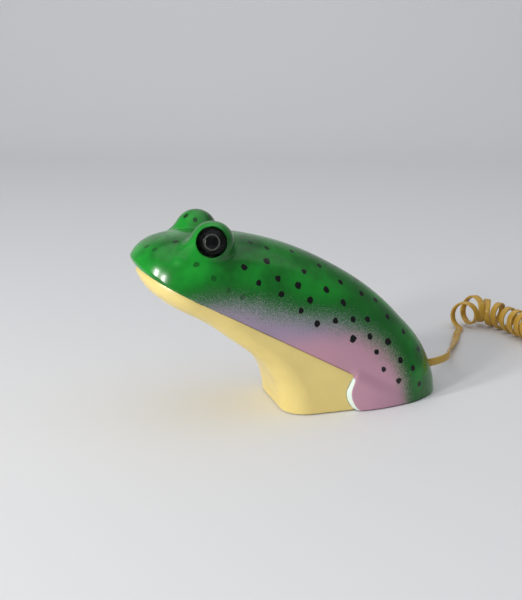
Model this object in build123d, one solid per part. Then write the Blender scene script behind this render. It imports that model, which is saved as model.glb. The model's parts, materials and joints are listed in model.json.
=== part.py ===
"""Novelty frog telephone: a one-piece handset that stands on its keypad base.

Millimetres.  +X runs from the snout to the rear, +Y is the frog's right side, +Z is up.
The origin is under the middle of the body, on the surface that the frog stands on.
The body is split along a plane that slopes down from the mouth to the rear: the painted
upper shell is above it and the cream jaw and chest are below it.
"""
from build123d import *
from math import cos, pi, radians, sin, sqrt, tan
import os

# ---- driving dimensions ----------------------------------------------------------------
WALL = 2.5                    # moulded shell thickness
FLOOR_GAP = 1.0               # the shells and base plate stand this far above the surface
BODY_REAR = 130.8             # rear end of the body; the snout is as far in front

MOUTH = (-130.3, 125.2)       # x, z of the snout on the parting plane
SLOPE = radians(29.0)         # fall of the parting plane towards the rear
PART_GAP = 0.35               # groove between the two shells
LIP_OVERHANG = 2.5            # of the snout beyond the parting line's own front
JAW_INSET = 0.9               # of the jaw under the upper lip, at the sides
JAW_START = 4.0               # the same at the snout

NOSE_PLAN = 48.0              # length over which the plan outline rounds into the snout
NOSE_SIDE = 100.0             # the same for the crown of the head
TAIL_START, TAIL_LENGTH = 230.0, 62.0
HALF_WIDTHS = [(0, 49.5), (48, 49.5), (75, 46.5), (110, 45.3), (160, 45), (230, 43.5), (300, 43.5)]
CROWNS = [(0, 61), (30, 61.5), (60, 63.5), (90, 66.2), (109, 68.4), (125, 70), (150, 70.6), (164, 70.2), (184, 68.2),
          (207, 64.4), (224, 59.6), (246, 51), (261, 41.5), (272, 33), (280, 27), (292, 19), (300, 12)]
JAW_DEPTHS = [(0, 4), (4, 6), (16, 11), (30, 13.8), (60, 15.8), (90, 18), (120, 21), (150, 24)]

CHEST_FRONTS = [(FLOOR_GAP, -16.8), (9, -18.3), (17, -20.4), (25, -23.2), (33, -27), (41, -32.2), (48, -38.4),
                (55, -45.2), (62, -50)]                      # z, x of the front of the chest
CHEST_CORNER = [(0, 21), (2.6, 33), (9.5, 41.5), (21, 45)]   # from the front: back, outwards
CHEST_BACK = 52.0

HAUNCH_OUTLINE = [(30, 44.3), (45, 45.9), (60, 46.2), (74, 44.8), (88, 41.6), (98, 38.4), (108, 33.9),
                  (118, 27.6), (125, 19), (129.2, 10), (BODY_REAR, 0)]
HAUNCH_FRONT = [(46, FLOOR_GAP), (39.2, 9), (36.7, 16), (38.2, 23), (41.8, 30.5)]   # x, z

EYE_CENTRE = (-72.8, 27.7, 143.5)     # of the frog's right eye
EYE_RADIUS = 17.0
EYE_AXIS = Vector(-0.277, 0.925, 0.26).normalized()
SOCKET_RADIUS = 11.8
SOCKET_FLOOR = 8.0                    # from the eye's centre
LENS_RADIUS = 11.5
LENS_RISE = 5.2

PLATE_THICK = 2.4
PLATE_TOP = FLOOR_GAP + PLATE_THICK
BASE_CLEARANCE = 0.25

KEYPAD_CENTRE = (33.0, 0.0)
KEYPAD_WINDOW = (62.0, 52.0)
KEY_PITCH = (14.0, 16.0)
KEY_SIZE = (9.0, 11.5)
KEY_FACE = 2.0                        # height of the pressed face, which looks down
KEY_TRAVEL = 1.2
KEY_NAMES = [["key_1", "key_2", "key_3"], ["key_4", "key_5", "key_6"],
             ["key_7", "key_8", "key_9"], ["key_star", "key_0", "key_hash"]]
BEZEL_THICK = 1.5
FLANGE_THICK = 1.0

HOOK_X = 77.0
HOOK_TRAVEL = 4.0
BOARD_Z = 30.0
BOARD_THICK = 1.6
BASE_SCREW_PLACES = [(8, 38.5), (8, -38.5), (95, 32.4), (95, -32.4)]
POST_PLACES = [(-4, 30), (-4, -30), (86, 24), (86, -24)]
SWITCH_PLACES = [(40, 34.5), (40, -34.5)]
FOOT_PLACES = [(-8, 25), (-8, -25), (108, 21), (108, -21)]

RECEIVER_S = 48.0                     # along the parting plane, from the snout tip
RECEIVER_RADIUS = 14.0
MIC_X = -6.5

RIBBON_WIDTH = 7.0                    # the flat line cord
COIL_DIAMETER = 27.0
CORD_ROUTE = [(127, 0, 19), (137, 0, 19), (146.6, 4.2, 18.4), (153.6, 12, 16.8), (158, 22, 14.2),
              (163.5, 33.5, 11), (170.5, 47, 7.8), (179, 61, 5.4), (190, 76.5, 4.1), (201, 92.5, 3.7),
              (212, 110, 3.8), (222, 127, 4), (233, 140, 4.4)]
COIL_ROUTE = [(232, 139, 13.6), (246, 148, 13.6), (261, 147, 13.6), (272, 136, 13.6), (276, 120, 13.6),
              (278, 102, 13.6), (282, 80, 13.6), (288, 50, 13.6), (292, 16, 13.6), (290, -20, 13.6)]
TAIL_ROUTE = [(290, -20, 4.4), (289.3, -32.6, 4.4), (286.5, -45, 4), (285.5, -58, 4.4), (286.5, -68, 4.4)]

parts = {}


# ---- helpers ---------------------------------------------------------------------------
def between(table, position):
    """Smooth value between the (position, value) rows of a table."""
    last = len(table) - 1
    for index in range(last):
        (x0, y0), (x1, y1) = table[index], table[index + 1]
        if position <= x1 or index == last - 1:
            before = table[max(index - 1, 0)]
            after = table[min(index + 2, last)]
            slope0 = (y1 - before[1]) / (x1 - before[0])
            slope1 = (after[1] - y0) / (after[0] - x0)
            u = min(max((position - x0) / (x1 - x0), 0), 1)
            span = x1 - x0
            return ((2 * u**3 - 3 * u**2 + 1) * y0 + (u**3 - 2 * u**2 + u) * span * slope0
                    + (3 * u**2 - 2 * u**3) * y1 + (u**3 - u**2) * span * slope1)


def slope_point(s, y=0.0, t=0.0):
    """Point at s along the parting plane from the snout, y sideways and t above the plane."""
    return Vector(MOUTH[0] + s * cos(SLOPE) + t * sin(SLOPE), y, MOUTH[1] - s * sin(SLOPE) + t * cos(SLOPE))


ALONG = Vector(cos(SLOPE), 0, -sin(SLOPE))
ABOVE = Vector(sin(SLOPE), 0, cos(SLOPE))


def slope_plane(s, y=0.0, t=0.0):
    """Plane that looks square to the parting plane, upwards, with its x axis down the slope."""
    return Plane(origin=slope_point(s, y, t), x_dir=ALONG, z_dir=ABOVE)


def half_width(s, overhang=0.0):
    nose = 1 - ((NOSE_PLAN - s) / (NOSE_PLAN + overhang)) ** 2 if s < NOSE_PLAN else 1
    tail = 1 - ((s - TAIL_START) / TAIL_LENGTH) ** 2 if s > TAIL_START else 1
    return between(HALF_WIDTHS, s) * sqrt(max(nose * tail, 0))


def crown(s):
    nose = 1 - ((NOSE_SIDE - s) / (NOSE_SIDE + LIP_OVERHANG)) ** 2 if s < NOSE_SIDE else 1
    return between(CROWNS, s) * sqrt(nose)


def section(s, wide, high):
    """Elliptical face square to the slope."""
    plane = Plane(origin=slope_point(s), x_dir=(0, 1, 0), z_dir=ALONG)
    return plane * Ellipse(wide, high)


def body_loft(inset):
    """The back: elliptical sections along the slope, whose lower half is cut away later."""
    first = 0.5 - LIP_OVERHANG if inset == 0 else 4.0
    stations = [first, 2.5 + first, 8 + inset, 17, 30, 48, 70, 95, 120, 150, 180, 205, 225, 245, 262, 276, 286]
    sizes = [(s, half_width(s, LIP_OVERHANG) - inset, crown(s) - inset) for s in stations]
    return loft([section(s, wide, high) for s, wide, high in sizes if min(wide, high) > 2])


def jaw_loft(inset):
    first = JAW_START if inset == 0 else JAW_START + 5
    stations = [first, 2.5 + first, 16, 30, 48, 75, 100, 125, 145]
    return loft([section(s, half_width(s) - JAW_INSET - inset, between(JAW_DEPTHS, s) - inset) for s in stations])


def half_space(inside_above, t=0.0):
    """Large block above or below the parting plane."""
    size = 700
    shift = size / 2 if inside_above else -size / 2
    return slope_plane(120, 0, t) * Pos(0, 0, shift) * Box(size, size, size)


def chest_face(z, front, inset):
    points = [(CHEST_BACK, 44.6 - inset), (36, 44.7 - inset)]
    points += [(front + back + inset * (1 if back < 9 else 0.4), out - inset * (0.4 if back < 9 else 1))
               for back, out in reversed(CHEST_CORNER)]
    points.append((front + inset, 0))
    plane = Plane.XY.offset(z)
    half = plane * Spline(*points, tangents=[(-1, 0, 0), (0, -1, 0)])
    back_edge = plane * Line((CHEST_BACK, points[0][1]), (CHEST_BACK, -points[0][1]))
    return make_face([half, mirror(half, about=Plane.XZ), back_edge])


def chest_loft(inset):
    return loft([chest_face(z, front, inset) for z, front in CHEST_FRONTS])


def haunch_block(inset, top=60.0):
    """Rear of the base: the outline of both haunches, straight up."""
    points = [(x, y - inset) for x, y in HAUNCH_OUTLINE[:-4]]
    points += [(x - inset * 0.7, y - inset * 0.75) for x, y in HAUNCH_OUTLINE[-4:-1]]
    points.append((BODY_REAR - inset, 0))
    plane = Plane.XY.offset(FLOOR_GAP)
    half = plane * Spline(*points, tangents=[(1, 0.1, 0), (0, -1, 0)])
    front_edge = plane * Line((points[0][0], points[0][1]), (points[0][0], -points[0][1]))
    outline = make_face([half, mirror(half, about=Plane.XZ), front_edge])
    return extrude(outline, top, dir=(0, 0, 1))


def haunch_side(gap=0.0):
    """Block behind the curved front edge of the haunches, seen from the side."""
    edge_points = [(x - gap, z) for x, z in HAUNCH_FRONT]
    front = Plane.XZ * Spline(*edge_points)
    top_x, top_z = edge_points[-1]
    low_x, low_z = edge_points[0]
    rest = Plane.XZ * Polyline((top_x, top_z), (top_x + 1, 90), (200, 90), (200, low_z - 5), (low_x, low_z - 5),
                               (low_x, low_z))
    return extrude(make_face([front, rest]), 100, both=True)


def disc_on(plane, radius, height, start=0.0):
    return plane * Pos(0, 0, start + height / 2) * Cylinder(radius, height)


def post(x, y, z0, z1, radius):
    return Pos(x, y, (z0 + z1) / 2) * Cylinder(radius, z1 - z0)


def screw(x, y, head_z, length, shank=1.4, head=2.8, head_high=1.7, up=True):
    """Pan-head screw, whose head starts at head_z and whose shank points up or down."""
    way = 1 if up else -1
    head_part = Pos(x, y, head_z + way * head_high / 2) * Cylinder(head, head_high)
    shank_part = Pos(x, y, head_z + way * (head_high + length / 2)) * Cylinder(shank, length)
    slot = Pos(x, y, head_z) * (Box(2 * head, 0.7, 1.4) + Box(0.7, 2 * head, 1.4))
    return head_part + shank_part - slot


def rounded_block(x, y, z, long, wide, high, radius):
    """Block with rounded upright edges, whose base is at z."""
    return Pos(x, y, z) * extrude(RectangleRounded(long, wide, radius), high)


# ---- shells ----------------------------------------------------------------------------
def eye_plane(side, distance=0.0):
    centre = Vector(EYE_CENTRE[0], side * EYE_CENTRE[1], EYE_CENTRE[2])
    axis = Vector(EYE_AXIS.X, side * EYE_AXIS.Y, EYE_AXIS.Z)
    return Plane(origin=centre + axis * distance, z_dir=axis)


def above_floor():
    return Pos(0, 0, FLOOR_GAP + 150) * Box(700, 300, 300)


def make_upper_shell():
    outer = body_loft(0) & half_space(True)
    haunches = haunch_block(0) & haunch_side() & half_space(False, 0.5)
    solid = outer + haunches
    for side in (1, -1):
        solid += eye_plane(side) * Sphere(EYE_RADIUS)
    hollow = body_loft(WALL) & half_space(True, -1)
    inner_haunch = haunch_block(WALL) & half_space(False, 0.6)
    shell = solid - hollow - inner_haunch
    for side in (1, -1):
        shell += disc_on(eye_plane(side), SOCKET_RADIUS + 2, SOCKET_FLOOR + 4 - 3, 3)
        shell -= disc_on(eye_plane(side), SOCKET_RADIUS, 20, SOCKET_FLOOR)
        shell -= disc_on(eye_plane(side), 2.2, 12, 0)
    shell = shell & above_floor()
    for x, y in BASE_SCREW_PLACES[2:]:
        shell += post(x, y, PLATE_TOP, 26, 4.2) & (haunch_block(0.5) & above_floor())
        shell -= post(x, y, PLATE_TOP - 1, 14, 1.4)
    exit_x, exit_y, exit_z = CORD_ROUTE[0]
    shell -= Pos(exit_x - 8, exit_y, exit_z) * Box(40, 9.4, 4.6)
    return shell


def make_lower_shell():
    below = half_space(False, -PART_GAP)
    solid = (jaw_loft(0) + chest_loft(0)) & below
    hollow = (jaw_loft(WALL) & half_space(False, 2)) + chest_loft(WALL)
    solid -= hollow
    for side in (1, -1):
        boss = disc_on(slope_plane(RECEIVER_S, side * 20.5), 3.2, 12.5, -13.5)
        solid += boss & jaw_loft(0.6)
    solid -= disc_on(slope_plane(RECEIVER_S), RECEIVER_RADIUS + 1.2, 20, -19)
    for side in (1, -1):
        solid -= disc_on(slope_plane(RECEIVER_S, side * 20.5), 1.2, 8, -9)
    for x, y in BASE_SCREW_PLACES[:2]:
        rib = Pos(x, y * 1.06, (PLATE_TOP + 20) / 2) * Box(2, 8, 20 - PLATE_TOP)
        solid += (post(x, y, PLATE_TOP, 20, 4.2) + rib) & chest_loft(0.5)
        solid -= post(x, y, PLATE_TOP - 1, 14, 1.4)
    return solid - haunch_side(0.15)


def make_eyes():
    for side, name in ((1, "right"), (-1, "left")):
        plane = eye_plane(side)
        cup = disc_on(plane, LENS_RADIUS, 1.6, SOCKET_FLOOR)
        cup += disc_on(plane, 2.0, 5, SOCKET_FLOOR - 4.5)
        parts["eye_cup_" + name] = cup
        seat = SOCKET_FLOOR + 1.6
        parts["iris_ring_" + name] = disc_on(plane, 6.1, 0.7, seat) - disc_on(plane, 5.2, 2, seat - 0.5)
        pupil = disc_on(plane, 3.9, 1.5, seat)
        parts["pupil_" + name] = fillet(pupil.edges().sort_by(Axis(plane.origin, plane.z_dir))[-1:], 0.6)
        ball = (LENS_RADIUS**2 + LENS_RISE**2) / (2 * LENS_RISE)
        centre = seat + LENS_RISE - ball
        dome = plane * Pos(0, 0, centre) * Sphere(ball)
        inside = plane * Pos(0, 0, centre) * Sphere(ball - 1.3)
        keep = disc_on(plane, LENS_RADIUS, 12, seat)
        parts["eye_lens_" + name] = (dome - inside) & keep


# ---- base ------------------------------------------------------------------------------
def base_outline(inset, z, height):
    """Block inside both shells at the foot of the body."""
    points = [(CHEST_FRONTS[0][1] + inset, 0)]
    points += [(CHEST_FRONTS[0][1] + back + inset * (1 if back < 9 else 0.6), out - inset * (0.5 if back < 9 else 1))
               for back, out in CHEST_CORNER]
    points += [(36, 44.6 - inset), (60, 45 - inset), (74, 44.3 - inset), (88, 41.2 - inset), (98, 38 - inset)]
    points += [(x - inset * 0.75, y - inset * 0.8) for x, y in HAUNCH_OUTLINE[-5:-1]]
    points.append((BODY_REAR - inset - 0.5, 0))
    plane = Plane.XY.offset(z)
    half = plane * Spline(*points, tangents=[(0, 1, 0), (0, -1, 0)])
    return extrude(make_face([half, mirror(half, about=Plane.XZ)]), height, dir=(0, 0, 1))


def make_base_plate():
    inset = WALL + BASE_CLEARANCE
    rear_wall = (body_loft(0) - body_loft(inset)) & half_space(True)
    plate = base_outline(inset, FLOOR_GAP, PLATE_THICK) - rear_wall
    plate -= Pos(*KEYPAD_CENTRE, 0) * Box(KEYPAD_WINDOW[0], KEYPAD_WINDOW[1], 20)
    for x, y in POST_PLACES:
        plate += post(x, y, PLATE_TOP, BOARD_Z, 3.2)
        plate -= post(x, y, BOARD_Z - 9, BOARD_Z + 1, 1.2)
    for x, y in BASE_SCREW_PLACES:
        plate -= post(x, y, 0, 6, 1.6)
        plate -= post(x, y, 0, FLOOR_GAP + 1.9, 3.0)
    plate -= post(HOOK_X, 0, 0, 6, 4.5)
    for y in (-3, 0, 3):
        plate -= Pos(MIC_X, y, 2) * Box(5, 1.2, 6)
    for x, y in SWITCH_PLACES:
        plate -= Pos(x, y, 2) * Box(8.2, 3.4, 6)
    for side in (1, -1):
        plate -= post(100, side * 14, 1.9, 5, 1.5)
    return plate


def make_keypad():
    kx, ky = KEYPAD_CENTRE
    flange = rounded_block(kx, ky, PLATE_TOP, KEYPAD_WINDOW[0] + 5, KEYPAD_WINDOW[1] + 5, BEZEL_THICK, 2)
    body = rounded_block(kx, ky, FLOOR_GAP + 0.5, KEYPAD_WINDOW[0] - 0.5, KEYPAD_WINDOW[1] - 0.5,
                         PLATE_TOP - FLOOR_GAP - 0.5, 1)
    bezel = flange + body
    bezel_top = PLATE_TOP + BEZEL_THICK
    rest = bezel_top + 0.1
    dome_foot = rest + FLANGE_THICK
    mat_z = dome_foot + KEY_TRAVEL + 0.6
    domes = []
    for row, names in enumerate(KEY_NAMES):
        for column, name in enumerate(names):
            x = kx + (row - 1.5) * KEY_PITCH[0]
            y = ky + (1 - column) * KEY_PITCH[1]
            bezel -= rounded_block(x, y, 0, KEY_SIZE[0] + 0.8, KEY_SIZE[1] + 0.8, 12, 1.9)
            cap = rounded_block(x, y, KEY_FACE, KEY_SIZE[0], KEY_SIZE[1], rest - KEY_FACE, 1.5)
            cap = fillet(cap.edges().group_by(Axis.Z)[0], 0.7)
            key = cap + rounded_block(x, y, rest, KEY_SIZE[0] + 2.4, KEY_SIZE[1] + 2.4, FLANGE_THICK, 2)
            parts[name] = key
            domes.append(Pos(x, y, (dome_foot + mat_z) / 2) * Cone(2.2, 3.6, mat_z - dome_foot))
    parts["keypad_bezel"] = bezel
    parts["rubber_domes"] = Compound(domes)
    parts["keypad_mat"] = rounded_block(kx, ky, mat_z, 58, 50, 1.0, 2)
    board = rounded_block(kx, ky, mat_z + 1.0, 62, 52, 1.2, 1)
    parts["keypad_board"] = board


def make_hook():
    tip, flange_z, stem_top = 0.3, PLATE_TOP + 0.4 + HOOK_TRAVEL, BOARD_Z - 3.9
    plunger = post(HOOK_X, 0, tip, flange_z, 4.1)
    plunger = fillet(plunger.edges().group_by(Axis.Z)[0], 1.2)
    plunger += post(HOOK_X, 0, flange_z, flange_z + 1.5, 6.0)
    plunger += post(HOOK_X, 0, flange_z + 1.5, stem_top, 2.0)
    parts["hook_plunger"] = plunger
    roof = 21.5
    guide = post(HOOK_X, 0, PLATE_TOP, roof + 1.6, 8.2) - post(HOOK_X, 0, 0, roof, 6.6)
    guide -= post(HOOK_X, 0, roof - 1, roof + 3, 2.4)
    parts["hook_guide"] = guide
    spring_low, spring_high = flange_z + 1.7, roof - 0.2
    turns = 5
    wire = Helix(pitch=(spring_high - spring_low - 1) / turns, height=spring_high - spring_low - 1, radius=3.9)
    start = wire @ 0
    profile = Plane(origin=start, z_dir=wire % 0) * Circle(0.45)
    coil = sweep(profile, path=wire)
    parts["hook_spring"] = Pos(HOOK_X, 0, spring_low + 0.5) * coil
    parts["hook_switch"] = rounded_block(HOOK_X, 0, BOARD_Z - 3.6, 12.8, 6.5, 3.6, 0.5)


def make_switches():
    for (x, y), name in zip(SWITCH_PLACES, ("ringer_switch", "tone_switch")):
        parts[name + "_knob"] = (rounded_block(x, y, 0.7, 4.2, 2.8, PLATE_TOP + 0.6 - 0.7, 0.5)
                                 + rounded_block(x, y, PLATE_TOP + 0.6, 6.4, 4.6, 1.0, 0.5))
        case = rounded_block(x, y, PLATE_TOP, 15, 7.4, 5.5, 0.5)
        case -= Pos(x, y, PLATE_TOP + 1.1) * Box(10.6, 5.4, 2.4)
        parts[name + "_case"] = case


def make_electronics():
    board = rounded_block(41, 0, BOARD_Z, 98, 66, BOARD_THICK, 2)
    for x, y in POST_PLACES:
        board -= post(x, y, BOARD_Z - 1, BOARD_Z + 3, 1.7)
    parts["main_board"] = board
    top = BOARD_Z + BOARD_THICK
    parts["line_transformer"] = rounded_block(8, 16, top, 17, 14, 13, 0.8)
    parts["line_relay"] = rounded_block(8, -14, top, 20, 10, 10, 0.6)
    parts["dialler_chip"] = rounded_block(34, 0, top, 22, 8, 3.5, 0.4)
    parts["capacitors"] = Compound([post(x, y, top, top + high, radius)
                                    for x, y, radius, high in ((30, 18, 4, 11), (42, 19, 3.2, 9), (54, -16, 5, 12))])
    parts["ringer_disc"] = post(66, 10, top, top + 5, 10) - post(66, 10, top + 3.6, top + 6, 1.6)
    parts["board_screws"] = Compound([screw(x, y, top + 1.6, 7, 1.15, 2.5, 1.6, up=False) for x, y in POST_PLACES])


def make_receiver():
    def ring(radius, hole, start, height):
        whole = disc_on(slope_plane(RECEIVER_S), radius, height, start)
        return whole - disc_on(slope_plane(RECEIVER_S), hole, height + 2, start - 1) if hole else whole

    grille = ring(RECEIVER_RADIUS + 1.0, 0, -15.8, 2.4)
    grille = fillet(grille.edges().sort_by(Axis(slope_point(0), ABOVE))[:1], 0.6)
    for radius, count in ((0, 1), (4.2, 6), (8.4, 12)):
        for index in range(count):
            turn = radians(360 / count * index)
            spot = slope_plane(RECEIVER_S + radius * cos(turn), radius * sin(turn))
            grille -= disc_on(spot, 0.9, 6, -18)
    parts["receiver_grille"] = grille
    parts["receiver_gasket"] = ring(RECEIVER_RADIUS - 0.4, RECEIVER_RADIUS - 4, -13.4, 1.2)
    parts["receiver_capsule"] = ring(RECEIVER_RADIUS, 0, -12.2, 10.6)
    bar = slope_plane(RECEIVER_S) * Pos(0, 0, -1) * extrude(RectangleRounded(10, 50, 3), 1.6)
    screws = []
    for side in (1, -1):
        bar -= disc_on(slope_plane(RECEIVER_S, side * 20.5), 1.5, 4, -2)
        plane = slope_plane(RECEIVER_S, side * 20.5)
        screws.append(disc_on(plane, 2.6, 1.6, 0.6) + disc_on(plane, 1.1, 8, -7.4))
    parts["receiver_bracket"] = bar + disc_on(slope_plane(RECEIVER_S), 6, 0.7, -1.6)
    parts["receiver_screws"] = Compound(screws)


def make_microphone():
    parts["microphone_boot"] = post(MIC_X, 0, PLATE_TOP, 10, 6.0) - post(MIC_X, 0, 0, 9.0, 4.9)
    parts["microphone_capsule"] = post(MIC_X, 0, PLATE_TOP, 9.0, 4.9)


def make_base_fittings():
    block = rounded_block(98, 0, PLATE_TOP, 22, 40, 16, 3)
    screws = []
    for side in (1, -1):
        block -= post(100, side * 14, 0, 30, 1.8)
        screws.append(screw(100, side * 14, PLATE_TOP + 18.2, 17.5, 1.4, 3.0, 2.2, up=False))
    parts["ballast_weight"] = block
    parts["ballast_screws"] = Compound(screws)
    parts["base_screws"] = Compound([screw(x, y, FLOOR_GAP + 0.1, 9) for x, y in BASE_SCREW_PLACES])
    feet = []
    for x, y in FOOT_PLACES:
        foot = post(x, y, 0, FLOOR_GAP, 5)
        feet.append(fillet(foot.edges().group_by(Axis.Z)[0], 0.4))
    parts["rubber_feet"] = Compound(feet)


# ---- cord ------------------------------------------------------------------------------
def route_tube(points, diameter):
    """Straight runs joined by tangent arcs, each as large as its two runs allow."""
    corners = [Vector(*p) for p in points]
    radii = []
    for before, here, after in zip(corners, corners[1:], corners[2:]):
        run = min((here - before).length, (after - here).length)
        turn = radians((here - before).get_angle(after - here))
        radii.append(0.45 * run / tan(turn / 2))
    path = FilletPolyline(*corners, radius=radii)
    profile = Plane(origin=path @ 0, z_dir=path % 0) * Circle(diameter / 2)
    tube = sweep(profile, path=path)
    ideal = pi * diameter**2 / 4 * path.length
    print("cord tube: length", round(path.length, 1), "radii", [round(r, 1) for r in radii],
          "volume ratio", round(tube.volume / ideal, 4))
    return tube


def make_cord():
    exit_x, exit_z = CORD_ROUTE[0][0], CORD_ROUTE[0][2]
    grommet = Pos(exit_x - 6, 0, exit_z) * Box(12, 9.2, 4.4)
    grommet += Pos(exit_x - 14, 0, exit_z) * Box(5, 12, 6.4)
    parts["cord_grommet"] = grommet
    parts["cord_lead"] = route_tube(CORD_ROUTE, RIBBON_WIDTH)
    parts["cord_coil"] = route_tube(COIL_ROUTE, COIL_DIAMETER)
    parts["cord_tail"] = route_tube(TAIL_ROUTE, RIBBON_WIDTH)
    end, last = Vector(*TAIL_ROUTE[-1]), Vector(*TAIL_ROUTE[-2])
    way = (end - last).normalized()
    flat_way = Vector(way.X, way.Y, 0).normalized()
    frame = Plane(origin=(end.X, end.Y, 4.4), x_dir=flat_way, z_dir=(0, 0, 1))
    body = frame * Pos(7, 0, 0) * Box(14, 9.6, 6.6)
    latch = frame * Pos(7.5, 0, 3.3 + 1.0) * Rot(0, 8, 0) * Box(12, 3.2, 0.9)
    neck = frame * Pos(13, 0, 3.6) * Box(2, 3.2, 2.0)
    slots = [frame * Pos(12.6, offset, -2.6) * Box(4, 0.55, 2.4) for offset in (-1.5, -0.5, 0.5, 1.5)]
    plug = body + latch + neck
    for slot in slots:
        plug -= slot
    parts["modular_plug"] = plug
    parts["plug_contacts"] = Compound([frame * Pos(12.4, offset, -2.4) * Box(3.2, 0.45, 1.2)
                                       for offset in (-1.5, -0.5, 0.5, 1.5)])


# ---- build and write -------------------------------------------------------------------
def build():
    parts["upper_shell"] = make_upper_shell()
    parts["lower_shell"] = make_lower_shell()
    parts["base_plate"] = make_base_plate()
    make_eyes()
    make_keypad()
    make_hook()
    make_switches()
    make_electronics()
    make_receiver()
    make_microphone()
    make_base_fittings()
    make_cord()


def write():
    os.makedirs("parts", exist_ok=True)
    for name, shape in parts.items():
        export_step(shape, "parts/" + name + ".step")


build()
write()
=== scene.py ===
"""Looks for the frog telephone: painted shells, glass eyes, numbered keys and the curled ribbon cord.

The CAD frame gives every place.  Lengths inside the form functions are millimetres, in the row frame:
+X from snout to rear, +Y the frog's right side, +Z up.
"""
import bpy
import json
import numpy as np
from math import cos, pi, radians, sin, sqrt
from mathutils import Matrix, Vector


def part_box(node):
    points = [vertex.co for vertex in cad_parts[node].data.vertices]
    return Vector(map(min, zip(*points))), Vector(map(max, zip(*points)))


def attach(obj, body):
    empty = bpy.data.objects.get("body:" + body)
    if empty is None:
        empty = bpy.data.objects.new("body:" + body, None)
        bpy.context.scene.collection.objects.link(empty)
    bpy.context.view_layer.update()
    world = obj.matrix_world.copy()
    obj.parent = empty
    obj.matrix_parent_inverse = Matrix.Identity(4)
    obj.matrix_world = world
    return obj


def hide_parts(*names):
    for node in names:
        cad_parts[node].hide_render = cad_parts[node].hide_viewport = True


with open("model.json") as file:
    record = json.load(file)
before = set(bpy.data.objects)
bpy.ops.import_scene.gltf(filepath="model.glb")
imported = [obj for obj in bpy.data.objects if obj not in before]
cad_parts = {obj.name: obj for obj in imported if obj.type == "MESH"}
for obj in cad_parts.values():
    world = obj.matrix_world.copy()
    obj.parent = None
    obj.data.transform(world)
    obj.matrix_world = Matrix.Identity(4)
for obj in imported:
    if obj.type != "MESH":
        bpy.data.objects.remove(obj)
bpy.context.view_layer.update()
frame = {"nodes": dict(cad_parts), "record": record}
NODES = frame["nodes"]
MM = 0.001

# ---- form ------------------------------------------------------------------------------
MOUTH = (-130.3, 125.2)       # x, z of the snout on the parting plane
SLOPE = radians(29.0)
WALL = 2.5
FLOOR_GAP = 1.0
PART_GAP, HAUNCH_GAP = 0.06, 0.15       # from the cream shell to the painted one, at the mouth and the haunch
NOSE_PLAN, NOSE_SIDE = 48.0, 100.0
LIP_OVERHANG = 3.5            # of the snout beyond the parting line's own front
LIP_RISES = [(-6, 5.5), (0, 5), (20, 2.6), (50, 0.8), (90, 0), (300, 0)]       # widest line above the parting plane
LIP_DEPTHS = [(-6, 10), (0, 10.5), (20, 12), (50, 22), (90, 60), (300, 60)]   # how fast the lip curves in under it
JAW_INSET, JAW_START = 1.6, 5.5
TAIL_START, TAIL_LENGTH = 230.0, 62.0
HALF_WIDTHS = [(0, 49.5), (48, 49.5), (75, 46.5), (110, 45.3), (160, 45), (230, 43.5), (300, 43.5)]
CROWNS = [(0, 56), (20, 57), (40, 59.2), (60, 61.6), (75, 63.6), (90, 65.8), (109, 68.7), (125, 70.2), (150, 70.6),
          (164, 70.1), (184, 68.1), (207, 63.6), (224, 58.4), (246, 50.8), (254, 46.8), (261, 42.4), (268, 37.0),
          (274, 31.9), (280, 25.5), (286, 18.3), (292, 10), (300, 4)]
BLUNTNESS = [(0, 2.45), (50, 2.4), (90, 2.2), (140, 2.1), (300, 2.0)]
JAW_DEPTHS = [(-5, 1.5), (0, 2), (5, 3.4), (8, 5.6), (12, 8.6), (17, 11.2), (30, 14), (60, 15.2), (75, 13.8),
              (90, 12.2), (120, 12.5), (150, 15)]
JAW_POWER = 1.35              # half the exponent of the jaw's blunt elliptical sections
CHEST_FRONTS = [(-10, -13.5), (1, -16.6), (11, -17.9), (20, -20), (27, -22.6), (33, -26.2), (41, -31.7), (48, -38.2),
                (54, -44.6), (60, -52), (66, -59.6), (72, -66.4), (80, -75), (88, -83.5), (96, -93), (104, -102)]
CHEST_WIDTHS = [(-10, 42.8), (1, 43), (15, 43.4), (35, 44.4), (60, 44.8), (90, 44.8)]
HAUNCH_WIDTHS = [(20, 46.6), (36, 47), (45, 47.4), (60, 47.3), (74, 45.4), (88, 41.6), (98, 38.4),
                 (108, 34.2), (118, 28.2), (125.7, 19.5), (130, 10), (130.8, 0)]
HAUNCH_FALL = 120
HAUNCH_FRONT = [(-10, 49), (1, 44.6), (4, 41.4), (9, 38.4), (16, 36.7), (23, 38.2), (30.5, 41.8), (47, 50)]
BEVEL = 3.3                   # along the front edge of the haunches, left unpainted
EYE = (-72.8, 27.7, 143.5)
EYE_RADIUS = 17.0
EYE_AXIS = np.array([-0.277, 0.925, 0.26]) / np.linalg.norm([-0.277, 0.925, 0.26])
SOCKET_RADIUS, SOCKET_FLOOR = 11.8, 8.0
RIDGE_START, RIDGE_END = (-75.0, 28.0, 143.0), (-96.0, 33.0, 132.5)   # brow in front of the eye
RIDGE_RADII = (15.3, 7.0)
RECEIVER_S, RECEIVER_RADIUS, RECEIVER_REACH = 48.0, 15.2, 40
CHEST_CORNER = 21.0           # radius of the chest's corners seen from above
SLOT_HALF_HEIGHT, SLOT_HALF_WIDTH, SLOT_START = 2.3, 4.7, 100     # cord exit through the rear
THICK_BEFORE, THICK_OVER = 94, 14         # forward of this x the haunch walls gain 1 mm, over this length
RIM_EXTRA, RIM_DEPTH = 1.2, 8             # and they gain this much more at their front rim

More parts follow.
